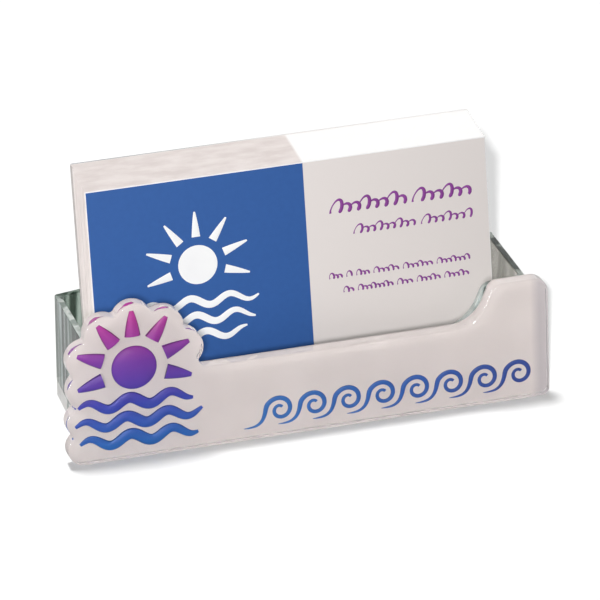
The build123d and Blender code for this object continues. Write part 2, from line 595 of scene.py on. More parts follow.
# Enamel in the engraved scroll: blue, darker to the right
SCROLL_PAINT = FillPaint(
    "scroll_enamel",
    roughness=0.4,
    axis=Axis.X,
    start=-16.0,
    end=52.0,
    stops=((0.0, "#2F6CB4"), (0.55, "#2656A6"), (1.0, "#2C3F8C")),
)
# Coated card: white face, and off-white cut edges, warm on the left and white on the right
DECK_STOCK = EdgedSheet(
    "coated_card_stock",
    colour="#E9E2DF",
    cloud="#DCD3D0",
    cloud_size=3.0,
    cloud_stretch=(2.2, 0.8, 6.0),
    right="#F8F7F6",
    roughness=0.6,
    blur=0.3,
)
# Painted shade on the left edges of the rearmost cards, dark on the left and pale to the right
LEFT_EDGE_SHADE = (CARD_LEFT, ((0.0, "#5A5553"), (1.0, "#E6E4E3")))
# The rearmost card, with painted shade on its upper edge, dark on the left, and on its left edge
REAR_STOCK = EdgeShadedSheet(
    "coated_card_stock_edge_shaded",
    roughness=0.6,
    sheet=MattSheet("coated_card_stock_back", colour="#F1EEEC", cloud="#EAE6E4"),
    shaded_edges=(
        (CARD_UP, ((0.0, "#35424F"), (0.3, "#8F9394"), (0.55, "#D5D0CE"), (1.0, "#E6E4E3"))),
        LEFT_EDGE_SHADE,
    ),
)
# The cards before it, with painted shade on the left edge too
EDGE_SHADED_STOCK = EdgeShadedSheet(
    "coated_card_stock_left_shaded", roughness=0.6, sheet=DECK_STOCK, shaded_edges=(LEFT_EDGE_SHADE,)
)
# Cut edge and back of the front card: plain white
FRONT_STOCK = MattSheet("coated_card_stock_white", colour="#F7F6F7", cloud="#EFEDEE", roughness=0.5)
# Offset-printed face: solid blue panel on the left, pale warm grey on the right
FRONT_PRINT = SplitSheet(
    "offset_printed_card",
    colour="#355D9D",
    cloud="#345B9A",
    cloud_size=1.2,
    right="#E1DAD7",
    roughness=0.6,
    gloss=0.1,
)
# White opaque ink in the panel: crisp, with a slight gloss
WHITE_INK = MattSheet("white_offset_ink", colour="#FBFBFB", cloud="#F4F4F5", roughness=0.45)
# Purple offset ink: even lines with a slight gloss
PURPLE_INK = MattSheet(
    "purple_offset_ink", colour="#86408F", cloud="#7C3886", cloud_size=3.0, roughness=0.45
)


@dataclass(frozen=True)
class Slope:
    """A leaning plane: local x to the right, y up the slope and z out of its front."""

    foot_y: float
    foot_z: float
    lean: float

    def matrix(self) -> Matrix:
        """Gives the plane's place in the frame, in metres."""
        turn = Matrix.Rotation(math.radians(90.0 - self.lean), 4, "X")
        return Matrix.Translation((0.0, self.foot_y * MM, self.foot_z * MM)) @ turn


@dataclass(frozen=True)
class Stroke:
    """A drawn line, with its width at each point."""

    points: tuple[Point, ...]
    widths: tuple[float, ...]


def cad_copy(node: str) -> Mesh:
    """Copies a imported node's mesh, with its loose triangles merged.

    Args:
        node: Name of the node.

    Returns:
        The merged copy.
    """
    bm = bmesh.new()
    bm.from_mesh(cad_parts[node].data)
    bmesh.ops.remove_doubles(bm, verts=bm.verts, dist=SAME_POINT)
    return bm


def make_piece(
    bm: Mesh, name: str, finishes: list[Finish], body: Body, slot: Slot, *stands_for: str
) -> bpy.types.Object:
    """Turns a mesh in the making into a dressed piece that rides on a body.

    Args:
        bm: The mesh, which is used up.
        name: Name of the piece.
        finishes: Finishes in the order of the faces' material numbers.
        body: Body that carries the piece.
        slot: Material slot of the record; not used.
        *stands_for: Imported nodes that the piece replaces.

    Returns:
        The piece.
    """
    mesh = bpy.data.meshes.new(name)
    bm.to_mesh(mesh)
    bm.free()
    for layer in ("custom_normal", "sharp_edge", "sharp_face"):
        if layer in mesh.attributes:
            mesh.attributes.remove(mesh.attributes[layer])
    mesh.shade_smooth()
    mesh.set_sharp_from_angle(angle=SMOOTH_BELOW)
    for finish in finishes:
        mesh.materials.append(finish.material())
    piece = bpy.data.objects.new(name, mesh)
    bpy.context.scene.collection.objects.link(piece)
    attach(piece, body.value)
    if stands_for:
        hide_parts(*stands_for)
    log.info("%s: %d faces on %s", name, len(mesh.polygons), body.value)
    return piece


def level_faces(piece: bpy.types.Object) -> None:
    """Keeps large flat faces flat in the shading beside their rounded edges.

    Args:
        piece: The piece that gets the modifier.
    """
    weighted = piece.modifiers.new("level_faces", "WEIGHTED_NORMAL")
    weighted.mode = "FACE_AREA"
    weighted.weight = 100
    weighted.keep_sharp = True


def round_off(bm: Mesh, geom: list, size: float, steps: int, what: Rounded = Rounded.EDGES) -> None:
    """Rounds off edges or corners.

    Args:
        bm: The mesh.
        geom: Its edges or corners to round.
        size: How far the round reaches.
        steps: Steps of the round.
        what: Whether edges or corners are rounded.
    """
    bmesh.ops.bevel(
        bm,
        geom=geom,
        offset=size,
        offset_type="OFFSET",
        affect=what.value,
        segments=steps,
        profile=0.5,
        material=-1,
        clamp_overlap=True,
    )


def cut(bm: Mesh, at: Direction, facing: Direction, clear: bool = False) -> None:
    """Cuts a mesh along a plane.

    Args:
        bm: The mesh.
        at: A point of the plane.
        facing: The plane's normal.
        clear: Whether what lies behind the plane is taken away.
    """
    everything = bm.verts[:] + bm.edges[:] + bm.faces[:]
    bmesh.ops.bisect_plane(
        bm, geom=everything, dist=SAME_POINT, plane_co=at, plane_no=facing, clear_inner=clear
    )


def sweep(strokes: list[Stroke], height: float, round_steps: int = 3) -> Mesh:
    """Sweeps drawn lines into low rounded ridges on the plane z = 0.

    Args:
        strokes: The lines.
        height: Height of a ridge over its half width.
        round_steps: Steps of the round of a ridge.

    Returns:
        Closed ridges, in metres.
    """
    curve = bpy.data.curves.new("strokes", "CURVE")
    curve.dimensions = "3D"
    curve.bevel_depth = MM
    curve.bevel_resolution = round_steps
    curve.use_fill_caps = True
    for stroke in strokes:
        line = curve.splines.new("NURBS")
        line.points.add(len(stroke.points) - 1)
        for point, (across, up), width in zip(line.points, stroke.points, stroke.widths):
            point.co = (across * MM, up * MM, 0.0, 1.0)
            point.radius = width / 2
        line.order_u = LINE_ORDER
        line.use_endpoint_u = True
        line.resolution_u = LINE_STEPS
    drawn = bpy.data.objects.new("strokes", curve)
    swept = bpy.data.meshes.new_from_object(drawn)
    bm = bmesh.new()
    bm.from_mesh(swept)
    bpy.data.objects.remove(drawn)
    bpy.data.curves.remove(curve)
    bpy.data.meshes.remove(swept)
    bmesh.ops.remove_doubles(bm, verts=bm.verts, dist=SAME_POINT)
    bmesh.ops.scale(bm, vec=(1.0, 1.0, height), verts=bm.verts)
    return bm


def settle(bm: Mesh, place: Matrix) -> None:
    """Cuts ridges off at the plane z = 0, closes them there and lays them in their place.

    Args:
        bm: The ridges.
        place: Where the plane lies in the frame.
    """
    cut(bm, (0.0, 0.0, 0.0), (0.0, 0.0, 1.0), clear=True)
    bmesh.ops.holes_fill(bm, edges=[edge for edge in bm.edges if edge.is_boundary], sides=0)
    bmesh.ops.recalc_face_normals(bm, faces=bm.faces)
    bmesh.ops.transform(bm, matrix=place, verts=bm.verts)


@dataclass(frozen=True)
class SunOverWaves:
    """A sun with rays over three wave lines, drawn as strokes and a disc."""

    middle: Point
    disc_radius: float
    ray_start: float
    ray_end: float
    ray_widths: tuple[float, float, float]
    wave_levels: tuple[float, ...]
    wave_ends: tuple[Point, ...]
    wave_height: float
    wave_length: float
    wave_width: float
    ray_count: int = 7
    ray_span: float = 212.0
    wave_points: int = 8
    wave_tip: float = 0.3
    wave_swell: float = 0.6
    disc_steps: tuple[int, int] = (64, 24)

    def strokes(self) -> list[Stroke]:
        """Draws the rays and the wave lines.

        Returns:
            The strokes.
        """
        drawn = []
        middle_u, middle_h = self.middle
        step = self.ray_span / (self.ray_count - 1)
        for index in range(self.ray_count):
            angle = math.radians(90.0 - self.ray_span / 2 + index * step)
            points = []
            for share in (0.0, 0.5, 1.0):
                reach = self.ray_start + share * (self.ray_end - self.ray_start)
                points.append((middle_u + reach * math.cos(angle), middle_h + reach * math.sin(angle)))
            drawn.append(Stroke(tuple(points), self.ray_widths))
        for level, (left, right) in zip(self.wave_levels, self.wave_ends):
            drawn.append(self.wave(level, left, right))
        return drawn

    def wave(self, level: float, left: float, right: float) -> Stroke:
        """Draws one wave line, thin at its ends and full in its middle.

        Args:
            level: Height of the line's middle.
            left: Left end.
            right: Right end.

        Returns:
            The stroke.
        """
        count = self.wave_points * max(1, round((right - left) / self.wave_length))
        points, widths = [], []
        for index in range(count + 1):
            share = index / count
            across = left + share * (right - left)
            turn = 2 * math.pi * (across - left) / self.wave_length
            points.append((across, level + self.wave_height * math.sin(turn)))
            full = math.sin(math.pi * share) ** self.wave_swell
            widths.append(self.wave_width * (self.wave_tip + (1.0 - self.wave_tip) * full))
        return Stroke(tuple(points), tuple(widths))

    def mesh(self, height: float, place: Matrix) -> Mesh:
        """Builds the whole motif on a plane.

        Args:
            height: Height of a ridge over its half width.
            place: The plane's place.

        Returns:
            The motif, in the frame.
        """
        bm = sweep(self.strokes(), height)
        disc_place = Matrix.Translation((self.middle[0] * MM, self.middle[1] * MM, 0.0))
        flat = Matrix.Diagonal((1.0, 1.0, height * self.ray_widths[0] / (2 * self.disc_radius), 1.0))
        around, up = self.disc_steps
        bmesh.ops.create_uvsphere(
            bm, u_segments=around, v_segments=up, radius=self.disc_radius * MM, matrix=disc_place @ flat
        )
        settle(bm, place)
        return bm


@dataclass(frozen=True)
class RunningScroll:
    """A running wave scroll: a row of curls, each rising from the foot of the last."""

    left: float
    foot: float
    count: int = 8
    pitch: float = 7.7
    curl_middle: Point = (5.2, 4.1)
    curl_start: float = 3.3
    curl_end: float = 0.75
    first_angle: float = 160.0
    turn: float = 470.0
    tightening: float = 0.8
    steps: int = 26
    lead: tuple[Point, ...] = ((-3.0, 0.75), (-0.9, 0.7), (0.9, 1.6), (1.75, 3.3))
    lead_widths: tuple[float, ...] = (0.35, 0.6, 0.85, 1.05)
    full_width: float = 1.25
    end_width: float = 0.75

    def curl(self, shift: float) -> Stroke:
        """Draws one curl.

        Args:
            shift: Place of the curl along the row.

        Returns:
            The stroke.
        """
        points = [(shift + across, self.foot + up) for across, up in self.lead]
        widths = list(self.lead_widths)
        for index in range(self.steps + 1):
            share = index / self.steps
            angle = math.radians(self.first_angle - share * self.turn)
            reach = self.curl_start + (self.curl_end - self.curl_start) * share**self.tightening
            across = shift + self.curl_middle[0] + reach * math.cos(angle)
            points.append((across, self.foot + self.curl_middle[1] + reach * math.sin(angle)))
            widths.append(self.full_width + (self.end_width - self.full_width) * share)
        return Stroke(tuple(points), tuple(widths))

    def mesh(self, height: float, place: Matrix) -> Mesh:
        """Builds the row on a plane.

        Args:
            height: Height of a ridge over its half width.
            place: The plane's place.

        Returns:
            The row, in the frame.
        """
        bm = sweep([self.curl(self.left + index * self.pitch) for index in range(self.count)], height)
        settle(bm, place)
        return bm


@dataclass(frozen=True)
class PenLine:
    """A plain pen flourish in place of a line of writing: runs of even loops with gaps between them."""

    left: float
    level: float
    runs: tuple[float, ...]
    gap: float = 1.25
    height: float = 1.25
    pitch: float = 1.0
    width: float = 0.46
    slant: float = 0.35
    loop_share: float = 0.3
    low_share: float = 0.62
    tall_every: int = 3
    pressure: float = 0.75
    pressure_swing: float = 0.35
    steps: int = 10

    def strokes(self) -> list[Stroke]:
        """Draws the runs.

        Returns:
            The strokes.
        """
        drawn = []
        start = self.left
        for run in self.runs:
            turns = max(1, round(run / self.pitch))
            count = turns * self.steps
            points, widths = [], []
            for index in range(count + 1):
                phase = 2 * math.pi * index / self.steps
                tall = self.height * (1.0 if index // self.steps % self.tall_every == 0 else self.low_share)
                up = tall / 2 * (1 - math.cos(phase))
                loop = self.loop_share * self.pitch * math.sin(phase)
                across = start + run * index / count - loop + self.slant * up
                points.append((across, self.level + up))
                widths.append(self.width * (self.pressure - self.pressure_swing * math.sin(phase)))
            drawn.append(Stroke(tuple(points), tuple(widths)))
            start += run + self.gap
        return drawn


@dataclass
class Ring:
    """A ring of edges of a mesh in the making, with the place in the plan of each of its points."""

    edges: list[bmesh.types.BMEdge]
    plan_of: dict[bmesh.types.BMVert, Point]

    def raised(self, bm: Mesh, place: Place) -> Ring:
        """Extrudes the ring and places its new points.

        Args:
            bm: The mesh.
            place: Gives the place of a new point from that point and its place in the plan.

        Returns:
            The new ring.
        """
        made = bmesh.ops.extrude_edge_only(bm, edges=self.edges)["geom"]
        plan_of = {}
        for vert in made:
            if isinstance(vert, bmesh.types.BMVert):
                ends = (edge.other_vert(vert) for edge in vert.link_edges)
                plan_of[vert] = self.plan_of[next(end for end in ends if end in self.plan_of)]
        for vert, (x, y) in plan_of.items():
            vert.co = place(vert, x, y)
        edges = [item for item in made if isinstance(item, bmesh.types.BMEdge) and item.is_boundary]
        return Ring([edge for edge in edges if all(vert in plan_of for vert in edge.verts)], plan_of)


@dataclass
class Tray:
    """The clear moulded tray: floor, leaning front wall with a scoop, drafted pocket, arched back wall."""

    front_height: float = 26.6
    rim_fall: float = 1.75
    back_crown: float = 2.85
    floor: float = 4.0
    rim: float = 1.4
    draft: float = 2.0
    lean: float = 7.0
    corner: float = 0.9
    pocket_corner: float = 1.6
    pocket_round: float = 0.8
    scoop_height: float = 16.9
    horn_width: float = 14.2
    scoop_angle: float = 66.0
    scoop_low_share: float = 0.62
    scoop_high_share: float = 0.16
    edge_round: float = 0.25
    edge_steps: int = 4
    corner_steps: int = 6
    arc_steps: int = 9
    back_steps: int = 24
    station_digits: int = 4
    rim_passes: int = 3
    level_share: float = 0.7
    square_share: float = 0.9
    half_width: float = field(init=False)
    front: float = field(init=False)
    back: float = field(init=False)
    back_height: float = field(init=False)
    lean_slope: float = field(init=False)
    lean_cos: float = field(init=False)
    wall_height: float = field(init=False)
    rim_slope: float = field(init=False)

    def __post_init__(self) -> None:
        """Reads the tray's place from the frame and works out what follows from its sizes."""
        low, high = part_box("tray")
        self.half_width = high.x / MM
        self.front = low.y / MM
        self.back = high.y / MM
        self.back_height = self.front_height - self.rim_fall
        self.lean_slope = math.tan(math.radians(self.lean))
        self.lean_cos = math.cos(math.radians(self.lean))
        self.wall_height = self.front_height / self.lean_cos
        self.rim_slope = self.rim_fall / (self.back - self.front_at(self.front_height))

    def on_front(self, x: float, y: float) -> bool:
        """Tells whether a point of the plan lies on the flat of the front wall."""
        return y < self.front + NEAR_POINT and abs(x) < self.half_width - self.corner + SAME_POINT

    def on_back(self, y: float) -> bool:
        """Tells whether a point of the plan lies on the back wall."""
        return y > self.back - NEAR_POINT

    def wall_at(self, height: float) -> float:
        """Gives a wall's thickness at a height."""
        return self.rim + (self.front_height - height) * math.tan(math.radians(self.draft))

    def front_at(self, height: float) -> float:
        """Gives the front wall's outer y at a height."""
        return self.front + height * self.lean_slope

    def scoop_line(self) -> list[Point]:
        """Draws the right half of the front wall's top, from the middle to the horn.

        Returns:
            Points across and up the slope of the wall.
        """
        angle = math.radians(self.scoop_angle)
        rise = self.wall_height - self.scoop_height
        run = rise / math.tan(angle)
        room = math.hypot(rise, run) / math.tan(angle / 2)
        foot = self.half_width - self.horn_width
        low, high = self.scoop_low_share * room, self.scoop_high_share * room
        points = [(0.0, self.scoop_height)]
        low_start = foot - low * math.tan(angle / 2)
        high_end = foot + run + high * math.tan(angle / 2)
        for index in range(self.arc_steps + 1):
            turned = angle * index / self.arc_steps
            up = self.scoop_height + low * (1 - math.cos(turned))
            points.append((low_start + low * math.sin(turned), up))
        for index in range(self.arc_steps + 1):
            left = angle * (1 - index / self.arc_steps)
            up = self.wall_height - high * (1 - math.cos(left))
            points.append((high_end - high * math.sin(left), up))
        return points

    def front_top(self, across: float) -> float:
        """Gives the height of the front wall's top up its slope.

        Args:
            across: Place along the wall.

        Returns:
            Height along the slope.
        """
        line = self.scoop_line()
        at = abs(across)
        for (x0, h0), (x1, h1) in zip(line, line[1:]):
            if x0 <= at <= x1:
                return h0 + (h1 - h0) * (at - x0) / max(x1 - x0, SAME_POINT)
        return self.wall_height

    def back_top(self, across: float) -> float:
        """Gives the height of the arched back wall.

        Args:
            across: Place along the wall.

        Returns:
            Height.
        """
        half = self.half_width - self.corner
        radius = (half**2 + self.back_crown**2) / (2 * self.back_crown)
        inside = max(radius**2 - across**2, 0.0)
        return max(self.back_height + self.back_crown - radius + math.sqrt(inside), self.back_height)

    def stations(self) -> list[float]:
        """Gives the places across the tray where its walls are cut, so that their tops can bend.

        Returns:
            Places from side to side.
        """
        line = self.scoop_line()
        half = [across for across, _ in line if across > 0]
        steps = self.back_steps // 2
        arch = [line[1][0] * index / steps for index in range(steps)]
        places = sorted(set(round(at, self.station_digits) for at in half + arch))
        return [-at for at in places if at > 0] + places

    def plan(self) -> Mesh:
        """Starts the tray as its outer plan, with round corners and cut at the stations.

        Returns:
            The plan, in millimetres.
        """
        bm = bmesh.new()
        corners = [(-1, self.front), (1, self.front), (1, self.back), (-1, self.back)]
        verts = [bm.verts.new((side * self.half_width, y, 0.0)) for side, y in corners]
        bm.faces.new(verts)
        round_off(bm, verts, self.corner, self.corner_steps, Rounded.CORNERS)
        for across in self.stations():
            cut(bm, (across, 0.0, 0.0), (1.0, 0.0, 0.0))
        return bm

    def outer_top(self, x: float, y: float) -> Vector:
        """Gives the outer rim over a point of the plan's edge.

        Args:
            x: Place across.
            y: Place in depth.

        Returns:
            The rim's point.
        """
        if self.on_front(x, y):
            up = self.front_top(x)
            return Vector((x, self.front + up * self.lean_slope * self.lean_cos, up * self.lean_cos))
        if self.on_back(y):
            return Vector((x, y, self.back_top(x)))
        share = (self.back - y) / (self.back - self.front)
        height = self.back_height + self.rim_fall * share
        for _ in range(self.rim_passes):
            height = self.back_height + self.rim_slope * share * (self.back - self.front_at(height))
        return self.outer_at(x, y, height)

    def outer_at(self, x: float, y: float, height: float) -> Vector:
        """Gives the outer wall over a point of the plan's edge.

        Args:
            x: Place across.
            y: Place in depth.
            height: Height on the wall.

        Returns:
            The wall's point.
        """
        share = (self.back - y) / (self.back - self.front)
        return Vector((x, self.back - share * (self.back - self.front_at(height)), height))

    def inner_at(self, x: float, y: float, height: float, inset: float = 0.0) -> Vector:
        """Gives the pocket's wall beside a point of the plan's edge.

        Args:
            x: Place across.
            y: Place in depth.
            height: Height in the pocket.
            inset: Distance in from the wall, for the round at the floor.

        Returns:
            The wall's point.
        """
        wall = self.wall_at(min(height, self.front_height))
        half = self.half_width - wall - inset
        front = self.front_at(height) + wall / self.lean_cos + inset
        back = self.back - wall - inset
        radius = max(self.pocket_corner - inset, SAME_POINT)
        edge_x = self.half_width - self.corner
        low_y, high_y = self.front + self.corner, self.back - self.corner
        across = max(abs(x) - edge_x, 0.0) / self.corner
        depth = (min(y - low_y, 0.0) + max(y - high_y, 0.0)) / self.corner
        inner_x = min(abs(x), half - radius) if across == 0.0 else half - radius + across * radius
        middle = front + radius if y < (low_y + high_y) / 2 else back - radius
        inner_y = middle + depth * radius
        return Vector((math.copysign(inner_x, x), inner_y, height))

    def inner_rim(self, vert: bmesh.types.BMVert, x: float, y: float) -> Vector:
        """Gives the rim's inner point beside an outer one.

        Args:
            vert: The outer point.
            x: Place across in the plan.
            y: Place in depth in the plan.

        Returns:
            The inner point.
        """
        height = vert.co.z
        if self.on_front(x, y):
            return self.inner_at(x, y, height - self.wall_at(height) * self.lean_slope * self.lean_cos)
        inner = self.inner_at(x, y, min(height, self.back_height) if self.on_back(y) else height)
        drop = 0.0 if y > self.back - self.corner else (inner.y - vert.co.y) * self.rim_slope
        return Vector((inner.x, inner.y, height - drop))

    def rim_skin(self, middle: Vector) -> Skin:
        """Gives the finish of a face of the rim.

        Args:
            middle: The face's middle.

        Returns:
            Its material number.
        """
        horn = self.half_width - self.horn_width / 2
        # The rim on the left takes the pale finish and the rim on the right and along the back the
        # near-black one: painted light and shade on one moulded edge
        if middle.x < -horn:
            return Skin.WALL if middle.y > self.back / 2 else Skin.SCOOP
        return Skin.RIM if middle.x > horn or middle.y > 0 else Skin.SCOOP

    def wall_skin(self, normal: Vector, middle: Vector) -> Skin:
        """Gives the finish of a face of the floor or of a wall.

        Args:
            normal: The face's normal.
            middle: The face's middle.

        Returns:
            Its material number.
        """
        if abs(normal.z) > self.level_share:
            return Skin.FLOOR
        # The left wall, the front wall and the back wall's left end keep the main finish with its painted
        # reflections; the rest of the back wall and the right wall take the even finish
        past_horn = middle.x > self.horn_width - self.half_width
        back = abs(normal.y) > self.square_share and middle.y > 0 and past_horn
        right = abs(normal.x) > self.square_share and middle.x > 0
        return Skin.BACK if back or right else Skin.WALL

    def build(self) -> bpy.types.Object:
        """Builds the tray from its plan: walls, rim, pocket and floor.

        Returns:
            The tray.
        """
        bm = self.plan()
        base = [edge for edge in bm.edges if edge.is_boundary]
        foot = Ring(base, {vert: (vert.co.x, vert.co.y) for edge in base for vert in edge.verts})
        ring = foot.raised(bm, lambda vert, x, y: self.outer_at(x, y, self.floor))
        slab = set(bm.faces)
        outer = ring.raised(bm, lambda vert, x, y: self.outer_top(x, y))
        inner = outer.raised(bm, self.inner_rim)
        ring = inner
        for step in range(self.edge_steps + 2):
            turned = math.radians(90.0) * step / (self.edge_steps + 1)
            height = self.floor + self.pocket_round * (1 - math.sin(turned))
            inset = self.pocket_round * (1 - math.cos(turned))
            ring = ring.raised(bm, lambda vert, x, y, z=height, i=inset: self.inner_at(x, y, z, i))
        bmesh.ops.edgeloop_fill(bm, edges=ring.edges)
        bmesh.ops.recalc_face_normals(bm, faces=bm.faces)
        beside_outer = {face for edge in outer.edges for face in edge.link_faces}
        rims = beside_outer & {face for edge in inner.edges for face in edge.link_faces}
        for face in bm.faces:
            middle = face.calc_center_median()
            skin = self.rim_skin(middle) if face in rims else self.wall_skin(face.normal, middle)
            face.material_index = Skin.SLAB if face in slab and skin != Skin.FLOOR else skin
        round_off(bm, base + outer.edges + inner.edges, self.edge_round, self.edge_steps)
        bmesh.ops.scale(bm, vec=(MM, MM, MM), verts=bm.verts)
        finishes = [TRAY_SKINS[skin] for skin in Skin]
        piece = make_piece(bm, "tray_moulding", finishes, Body.HOLDER, Slot.TRAY, "tray")
        level_faces(piece)
        return piece


@dataclass
class Plate:
    """The front plate with the film on its back, the adhesive sheet behind it and its painted engraving."""

    lean: float = 7.0
    tape: float = 0.25
    film: float = 0.2
    contact: float = 0.03
    shrink: float = 0.04
    sink: float = 0.05
    ridge: float = 0.55
    flat_share: float = 0.5
    emblem: SunOverWaves = SunOverWaves(
        middle=(-39.0, 20.2),
        disc_radius=5.0,
        ray_start=7.2,
        ray_end=13.0,
        ray_widths=(3.6, 3.0, 1.0),
        wave_levels=(12.4, 8.2, 4.0),
        wave_ends=((-51.6, -26.4), (-52.4, -24.5), (-51.6, -25.6)),
        wave_height=1.1,
        wave_length=9.0,
        wave_width=2.7,
    )
    scroll: RunningScroll = RunningScroll(left=-12.5, foot=1.3)

    def slope(self, out: float) -> Matrix:
        """Gives a plane parallel to the front wall, that far in front of it."""
        wall = Slope(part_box("tray")[0].y / MM, 0.0, self.lean).matrix()
        return wall @ Matrix.Translation((0.0, 0.0, out * MM))

    def shrunk(self, node: str, back: float, front: float) -> Mesh:
        """Copies a flat node a hair smaller, with its two faces moved, so that it meets no other face.

        Args:
            node: Name of the node.
            back: Move of its back face along the plate's normal.
            front: Move of its front face.

        Returns:
            The copy.
        """
        bm = cad_copy(node)
        bm.normal_update()
        normal = self.slope(0.0).to_3x3() @ Vector((0.0, 0.0, 1.0))
        moves = {}
        for vert in bm.verts:
            turned = [(face.normal, face.normal.dot(normal)) for face in vert.link_faces]
            walls = [way for way, share in turned if abs(share) < self.flat_share]
            faces = [share for _, share in turned if abs(share) > self.flat_share]
            inward = -sum(walls, Vector()).normalized() * self.shrink
            moves[vert] = inward + normal * (front if faces and faces[0] > 0 else back)
        for vert, move in moves.items():
            vert.co += move * MM
        return bm

    def build(self) -> list[bpy.types.Object]:
        """Builds the plate and all that is bonded to it.

        Returns:
            The pieces.
        """
        plate = cad_copy("front_plate")
        film = self.shrunk("backing_film", 0.0, self.contact)
        tape = self.shrunk("bond_tape", self.contact, -self.contact)
        back = self.slope(self.tape + self.film - self.sink)
        emblem = self.emblem.mesh(self.ridge, back)
        scroll = self.scroll.mesh(self.ridge, back)
        holder = Body.HOLDER
        pieces = [
            make_piece(plate, "front_plate_acrylic", [PLATE_PLASTIC], holder, Slot.PLATE, "front_plate"),
            make_piece(film, "backing_film_vinyl", [FILM_VINYL], holder, Slot.FILM, "backing_film"),
            make_piece(tape, "bond_tape_sheet", [TAPE_PLASTIC], holder, Slot.TAPE, "bond_tape"),
            make_piece(emblem, "emblem_inlay", [EMBLEM_PAINT], holder, Slot.FILM),
            make_piece(scroll, "scroll_inlay", [SCROLL_PAINT], holder, Slot.FILM),
        ]
        level_faces(pieces[0])
        return pieces


@dataclass
class CardStack:
    """The loose cards: a printed front card and the deck behind it."""

    lean: float = 12.5
    thickness: float = 0.4
    deck_count: int = 32
    edge_shaded_count: int = 4
    edge_round: float = 0.12
    edge_steps: int = 2
    flat_angle: float = 1.0
    face_share: float = 0.99
    ink: float = 0.06
    pen: float = 0.3
    pen_steps: int = 1
    ink_lift: float = -0.01
    motif: SunOverWaves = SunOverWaves(
        middle=(-21.0, 31.5),
        disc_radius=4.4,
        ray_start=6.2,
        ray_end=11.8,
        ray_widths=(2.0, 1.5, 0.5),
        wave_levels=(23.2, 19.4, 15.6),
        wave_ends=((-34.0, -8.0), (-33.0, -9.0), (-31.0, -11.0)),
        wave_height=1.0,
        wave_length=8.7,
        wave_width=1.7,
    )
    flourishes: tuple[PenLine, ...] = (
        PenLine(left=9.0, level=38.6, runs=(16.5, 12.6), gap=2.0, height=2.9, pitch=2.1, width=0.8),
        PenLine(left=14.0, level=33.4, runs=(13.4, 11.0), gap=1.8, height=2.0, pitch=1.55, width=0.55),
        PenLine(left=8.0, level=24.0, runs=(2.6, 1.0, 2.6, 5.4, 6.4, 7.2), slant=0.0),
        PenLine(left=11.0, level=20.6, runs=(2.0, 7.6, 3.2, 5.0, 5.2), slant=0.0),
    )

    def face(self, lift: float) -> Matrix:
        """Gives the front card's face.

        Args:
            lift: How far in front of it the plane lies.

        Returns:
            The plane's place in the frame, in metres.
        """
        low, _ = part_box("front_card")
        lean = math.radians(self.lean)
        slope = Slope(low.y / MM, low.z / MM + self.thickness * math.sin(lean), self.lean)
        return slope.matrix() @ Matrix.Translation((0.0, 0.0, lift * MM))

    def front_card(self) -> bpy.types.Object:
        """Builds the front card, with softened edges and a printed face.

        Returns:
            The card.
        """
        bm = cad_copy("front_card")
        flat = math.radians(self.flat_angle)
        bmesh.ops.dissolve_limit(bm, angle_limit=flat, verts=bm.verts, edges=bm.edges)
        round_off(bm, bm.edges[:], self.edge_round * MM, self.edge_steps)
        out = self.face(0.0).to_3x3() @ Vector((0.0, 0.0, 1.0))
        bm.normal_update()
        for face in bm.faces:
            face.material_index = 1 if face.normal.dot(out) > self.face_share else 0
        finishes = [FRONT_STOCK, FRONT_PRINT]
        return make_piece(bm, "front_card_sheet", finishes, Body.FRONT_CARD, Slot.PRINT, "front_card")

    def prints(self) -> list[bpy.types.Object]:
        """Builds what is printed on the front card.

        Returns:
            The white motif and the purple flourishes.
        """
        face = self.face(self.ink_lift)
        motif = self.motif.mesh(self.ink, face)
        strokes = [stroke for line in self.flourishes for stroke in line.strokes()]
        writing = sweep(strokes, self.pen, self.pen_steps)
        settle(writing, face)
        return [
            make_piece(motif, "card_motif", [WHITE_INK], Body.FRONT_CARD, Slot.PRINT),
            make_piece(writing, "card_flourishes", [PURPLE_INK], Body.FRONT_CARD, Slot.PRINT),
        ]

    def build(self) -> list[bpy.types.Object]:
        """Builds the front card and dresses the deck.

        Returns:
            The pieces and the dressed nodes.
        """
        pieces = [self.front_card(), *self.prints()]
        for number in range(1, self.deck_count + 1):
            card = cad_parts[f"card_{number:02d}"]
            # The rearmost cards take painted shade on their edges
            finish = DECK_STOCK
            if number == self.deck_count:
                finish = REAR_STOCK
            elif number >= self.deck_count - self.edge_shaded_count:
                finish = EDGE_SHADED_STOCK
            card.data.materials.clear()
            card.data.materials.append(finish.material())
            pieces.append(card)
        log.info("deck: %d cards dressed", self.deck_count)
        return pieces


@dataclass(frozen=True)
class Lamp:
    """A far soft lamp that lights the floor alone, or all but the floor."""

    name: str
    direction: Direction
    strength: float
    spread: float
    on_floor: bool = False

    def build(self, floor: bpy.types.Object) -> None:
        """Hangs the lamp.

        Args:
            floor: The floor that it lights alone, or leaves out.
        """
        data = bpy.data.lights.new(self.name, "SUN")
        data.energy = self.strength * math.pi
        data.angle = math.radians(self.spread)
        lamp = bpy.data.objects.new(self.name, data)
        lamp.rotation_mode = "QUATERNION"
        lamp.rotation_quaternion = Vector(self.direction).to_track_quat("-Z", "Y")
        bpy.context.scene.collection.objects.link(lamp)
        receivers = bpy.data.collections.new(f"{self.name}_receivers")
        receivers.objects.link(floor)
        receivers.collection_objects[0].light_linking.link_state = "INCLUDE" if self.on_floor else "EXCLUDE"
        lamp.light_linking.receiver_collection = receivers


